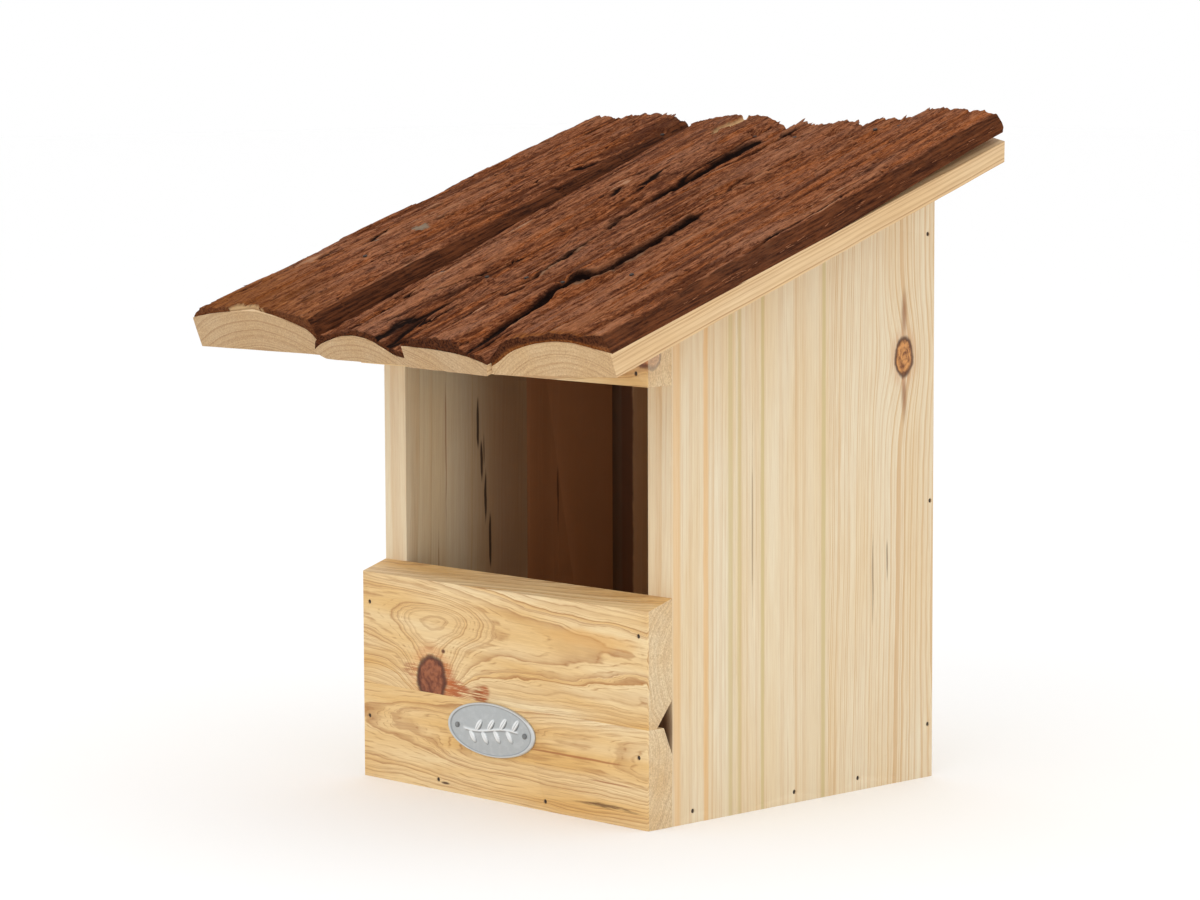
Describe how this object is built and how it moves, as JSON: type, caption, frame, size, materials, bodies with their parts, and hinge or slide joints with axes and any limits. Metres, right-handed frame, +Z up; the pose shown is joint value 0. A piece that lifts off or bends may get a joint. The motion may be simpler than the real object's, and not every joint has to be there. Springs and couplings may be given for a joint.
{
  "type": "open-fronted birdhouse",
  "caption": "Open-fronted wooden birdhouse: a box of glued pine staves with a low front board, under a lean-to roof of half-round slabs that keep their bark.",
  "frame": {"origin": "the centre of the box's underside, at the level that it stands on", "axes": "+X to the right seen from the front, +Y to the back, square to the wall it hangs on, +Z up"},
  "size_m": [0.331, 0.3145, 0.3787],
  "materials": {
    "pine_side": "planed, bare",
    "pine_front": "planed, bare",
    "slab_wood": "sawn, bare",
    "bark": "natural bark",
    "plate_metal": "satin",
    "nail_steel": "dull, dark",
    "zinc": "zinc plated"
  },
  "bodies": {
    "root": {"right_side_front_stave": "pine_side", "right_side_middle_stave": "pine_side", "right_side_rear_stave": "pine_side", "left_side_front_stave": "pine_side", "left_side_middle_stave": "pine_side", "left_side_rear_stave": "pine_side", "back_left_stave": "pine_side", "back_middle_stave": "pine_side", "back_right_stave": "pine_side", "floor_front_board": "pine_side", "floor_rear_board": "pine_side", "front_upper_board": "pine_front", "front_lower_board": "pine_front", "lintel_board": "pine_front", "roof_slab_1": "slab_wood", "roof_slab_2": "slab_wood", "roof_slab_3": "slab_wood", "roof_slab_4": "slab_wood", "roof_bark_1": "bark", "roof_bark_2": "bark", "roof_bark_3": "bark", "roof_bark_4": "bark", "name_plate": "plate_metal", "name_plate_pins": "nail_steel", "front_board_nails": "nail_steel", "lintel_nails": "nail_steel", "left_side_nails": "nail_steel", "right_side_nails": "nail_steel", "roof_nails": "nail_steel", "hanger_plate": "zinc", "hanger_screws": "zinc"}
  },
  "joints": []
}
